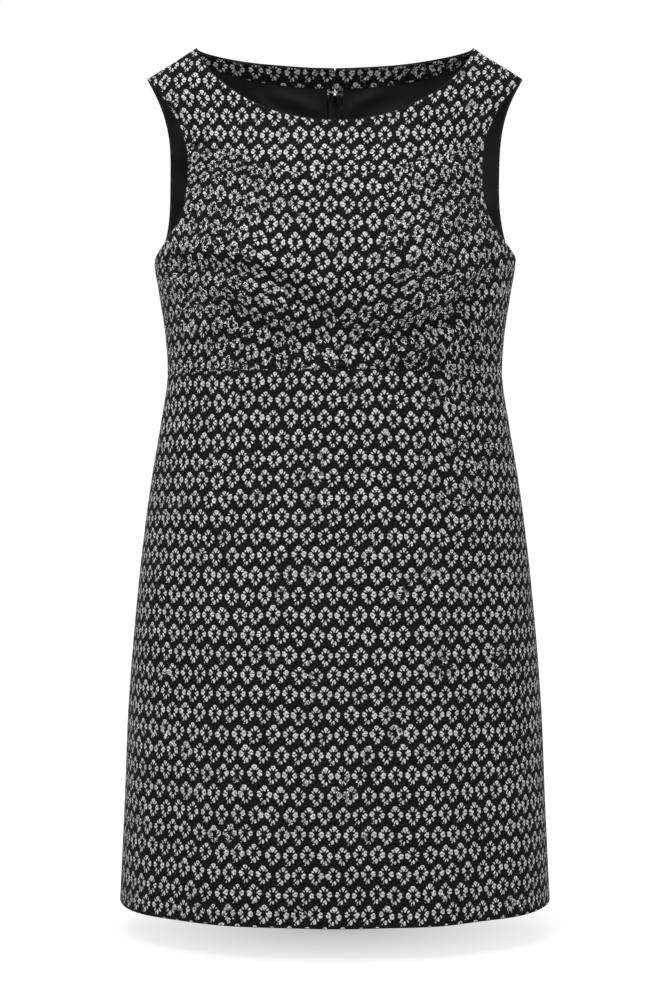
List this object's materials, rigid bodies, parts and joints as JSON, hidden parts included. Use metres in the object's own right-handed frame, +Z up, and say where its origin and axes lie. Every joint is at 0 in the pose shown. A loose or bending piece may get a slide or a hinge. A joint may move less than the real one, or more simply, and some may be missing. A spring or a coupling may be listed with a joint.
{
  "type": "shift dress",
  "caption": "Sleeveless A-line shift dress with a wide boat neck, curved front yoke, empire seam and centre back zip, filled out as worn, in a small figured jacquard",
  "frame": {"origin": "on the centre line at the height of the neck points, where the wearer's shoulders carry the dress", "axes": "+Z up, the front faces -Y, the wearer's left side is at +X"},
  "size_m": [0.4274, 0.308, 0.8464],
  "materials": {
    "jacquard": "matt charcoal jacquard with a small light grey flower figure in offset rows",
    "lining": "black lining with a slight sheen",
    "zip_tape": "black woven zip tape",
    "zip_metal": "black enamelled metal",
    "hook_metal": "bright nickel wire"
  },
  "bodies": {
    "dress": {"front_yoke": "jacquard", "front_bodice": "jacquard", "front_skirt": "jacquard", "back_left": "jacquard", "back_right": "jacquard", "neck_facing_left": "jacquard", "neck_facing_right": "jacquard", "back_lining_left": "lining", "back_lining_right": "lining", "zip_tape_left": "zip_tape", "zip_tape_right": "zip_tape", "zip_slider": "zip_metal", "hook": "hook_metal", "eye": "hook_metal"},
    "pull_tab": {"zip_pull": "zip_metal"}
  },
  "joints": [
    {"name": "zip_pull_swing", "type": "hinge", "parent": "dress", "child": "pull_tab", "pos_m": [0, 0.0867, -0.03172], "axis": [1, 0, 0], "range_deg": [0, 150]}
  ]
}
